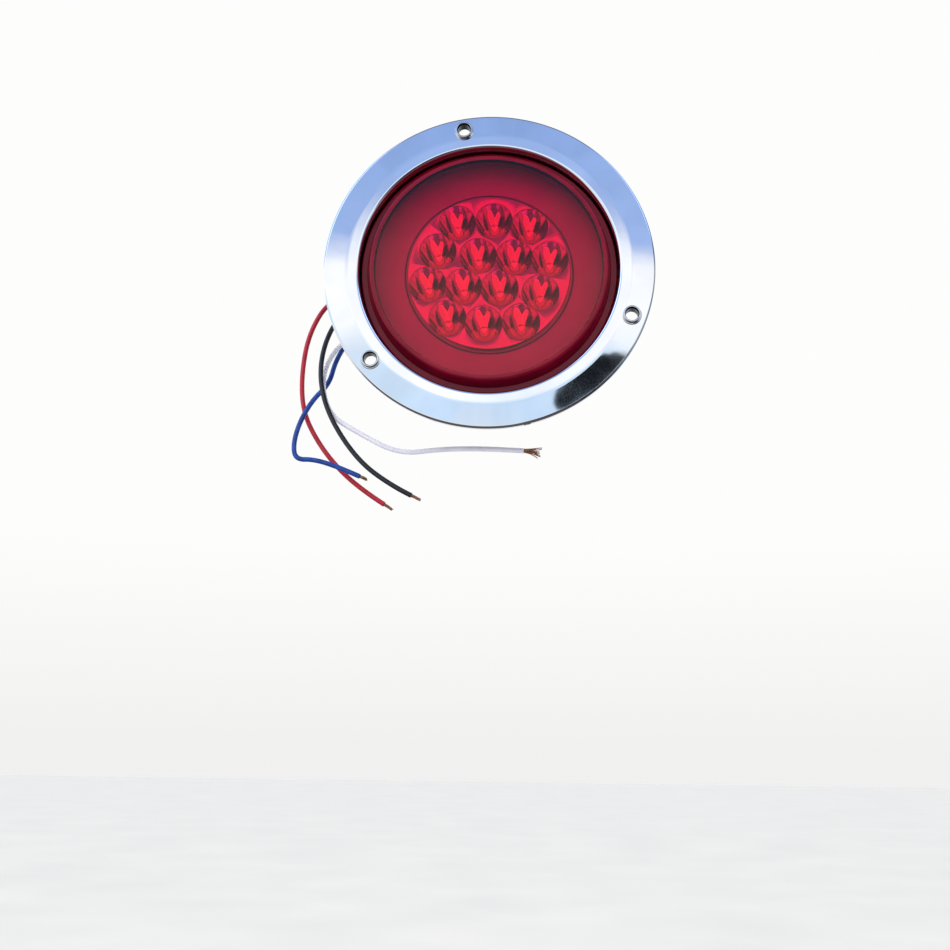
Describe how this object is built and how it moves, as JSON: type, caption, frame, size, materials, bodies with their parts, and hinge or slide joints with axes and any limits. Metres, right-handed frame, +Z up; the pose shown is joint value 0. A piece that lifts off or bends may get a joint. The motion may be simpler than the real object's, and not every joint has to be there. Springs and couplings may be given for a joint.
{
  "type": "trailer tail light",
  "caption": "Round red LED tail light in a mirror-chrome screw-on bezel flange, with a halo ring, reflector cups and bare-ended wires from its back.",
  "frame": {"origin": "centre of the flange's rear seat, where the lamp meets its panel", "axes": "+Y out of the back into the panel, the lens faces -Y; +Z up as mounted; +X to the viewer's right"},
  "size_m": [0.1591, 0.0681, 0.1658],
  "materials": {
    "chrome_plate": "mirror-polished plating on moulded plastic",
    "eyelet_steel": "bright plated",
    "foam_rubber": "closed-cell foam",
    "red_lens": "clear red, polished",
    "sealant": "cured bead",
    "red_diffuser": "smooth satin",
    "metallised_reflector": "vacuum metallised, seen through the red lens",
    "led_epoxy": "clear epoxy dome",
    "led_package": "moulded package",
    "board_laminate": "solder mask",
    "component_black": "moulded body",
    "screw_steel": "zinc plated",
    "black_abs": "fine moulded texture",
    "grommet_rubber": "soft moulded rubber",
    "solder": "bright solder",
    "red_pvc": "extruded insulation",
    "black_pvc": "extruded insulation",
    "white_pvc": "extruded insulation",
    "blue_pvc": "extruded insulation",
    "copper": "bare drawn strand"
  },
  "bodies": {
    "root": {"bezel_flange": "chrome_plate", "screw_eyelets": "eyelet_steel", "mounting_gasket": "foam_rubber", "outer_lens": "red_lens", "lens_seal": "sealant", "bezel_bond": "sealant", "halo_diffuser": "red_diffuser", "reflector": "metallised_reflector", "stop_leds": "led_epoxy", "halo_leds": "led_package", "circuit_board": "board_laminate", "resistors": "component_black", "diodes": "component_black", "current_regulator": "component_black", "board_screws": "screw_steel", "housing": "black_abs", "wire_grommet": "grommet_rubber", "inner_leads": "black_pvc", "solder_joints": "solder", "wire_red": "red_pvc", "wire_black": "black_pvc", "wire_white": "white_pvc", "wire_blue": "blue_pvc", "strands_red": "copper", "strands_black": "copper", "strands_white": "copper", "strands_blue": "copper"}
  },
  "joints": []
}
